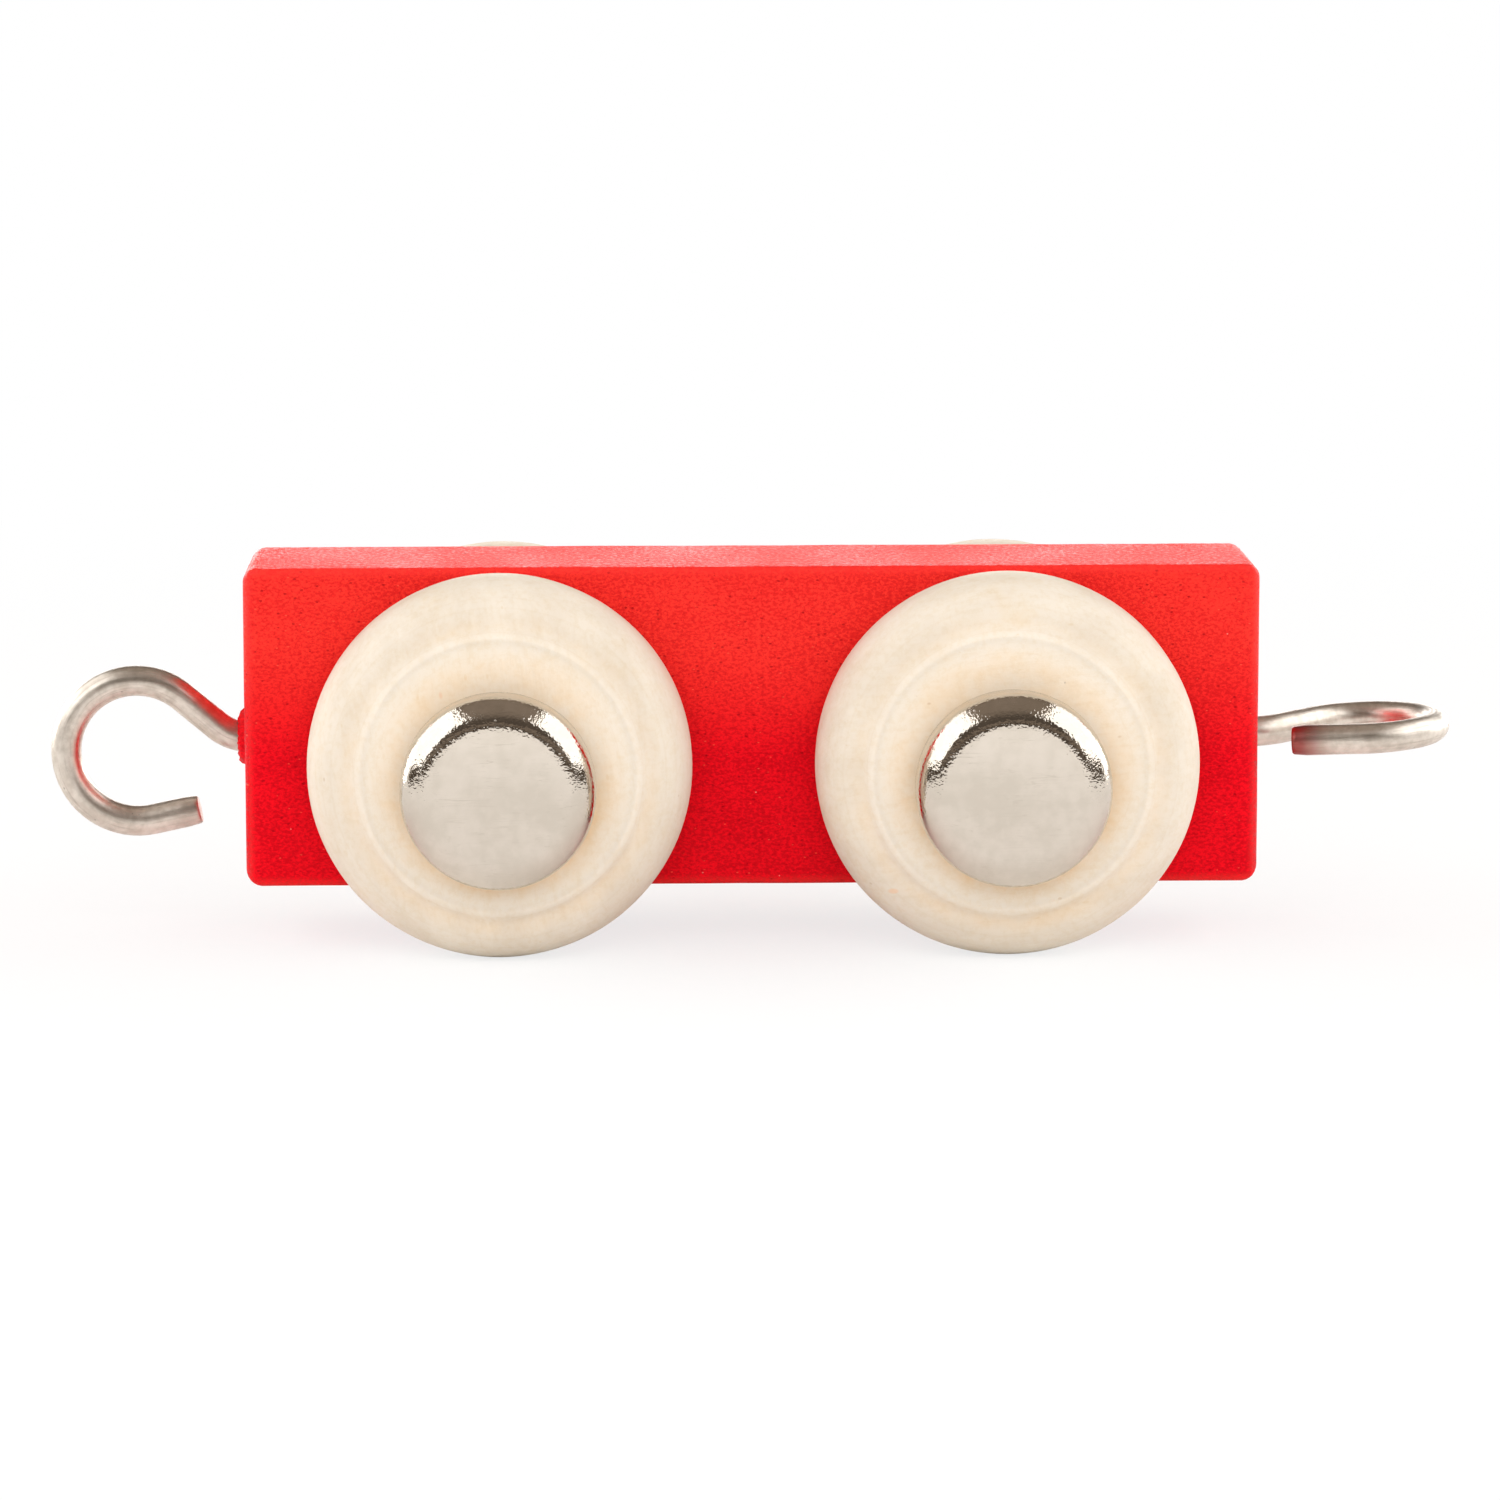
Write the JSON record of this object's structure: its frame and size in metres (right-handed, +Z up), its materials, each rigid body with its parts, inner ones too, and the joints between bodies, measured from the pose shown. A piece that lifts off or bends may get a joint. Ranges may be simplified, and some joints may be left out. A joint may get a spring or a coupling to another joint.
{
  "type": "wooden toy train wagon",
  "caption": "Painted wooden toy wagon base on turned wheels with push-on hub caps, a wire screw hook at one end and a screw eye at the other.",
  "frame": {"origin": "on the floor under the middle of the block, midway between the outer ends of the two couplings and between the hub caps", "axes": "+X along the wagon from the upright hook to the level eye, +Y across to the side whose nodes are called right, +Z up"},
  "size_m": [0.0926, 0.0356, 0.0251],
  "materials": {
    "red_paint": "satin red paint over fine-grained board",
    "pale_wood": "bare turned pale hardwood, sanded",
    "nickel": "bright nickel plate with fine handling scratches",
    "wire_steel": "zinc-plated steel wire, satin",
    "axle_steel": "drawn steel rod, dull",
    "spring_steel": "dark spring steel"
  },
  "bodies": {
    "chassis": {"chassis_block": "red_paint", "coupling_hook": "wire_steel", "coupling_eye": "wire_steel"},
    "axle_set_front": {"axle_front": "axle_steel", "hub_cap_front_left": "nickel", "hub_cap_front_right": "nickel", "lock_washer_front_left": "spring_steel", "lock_washer_front_right": "spring_steel"},
    "axle_set_rear": {"axle_rear": "axle_steel", "hub_cap_rear_left": "nickel", "hub_cap_rear_right": "nickel", "lock_washer_rear_left": "spring_steel", "lock_washer_rear_right": "spring_steel"},
    "front_left_wheel": {"wheel_front_left": "pale_wood"},
    "front_right_wheel": {"wheel_front_right": "pale_wood"},
    "rear_left_wheel": {"wheel_rear_left": "pale_wood"},
    "rear_right_wheel": {"wheel_rear_right": "pale_wood"}
  },
  "joints": [
    {"name": "axle_front_spin", "type": "hinge", "parent": "chassis", "child": "axle_set_front", "pos_m": [-0.0165, 0, 0.0119], "axis": [0, 1, 0], "continuous": true},
    {"name": "axle_rear_spin", "type": "hinge", "parent": "chassis", "child": "axle_set_rear", "pos_m": [0.0165, 0, 0.0119], "axis": [0, 1, 0], "continuous": true},
    {"name": "wheel_front_left_spin", "type": "hinge", "parent": "chassis", "child": "front_left_wheel", "pos_m": [-0.0165, -0.0098, 0.0125], "axis": [0, 1, 0], "continuous": true},
    {"name": "wheel_front_right_spin", "type": "hinge", "parent": "chassis", "child": "front_right_wheel", "pos_m": [-0.0165, 0.0098, 0.0125], "axis": [0, 1, 0], "continuous": true},
    {"name": "wheel_rear_left_spin", "type": "hinge", "parent": "chassis", "child": "rear_left_wheel", "pos_m": [0.0165, -0.0098, 0.0125], "axis": [0, 1, 0], "continuous": true},
    {"name": "wheel_rear_right_spin", "type": "hinge", "parent": "chassis", "child": "rear_right_wheel", "pos_m": [0.0165, 0.0098, 0.0125], "axis": [0, 1, 0], "continuous": true}
  ]
}
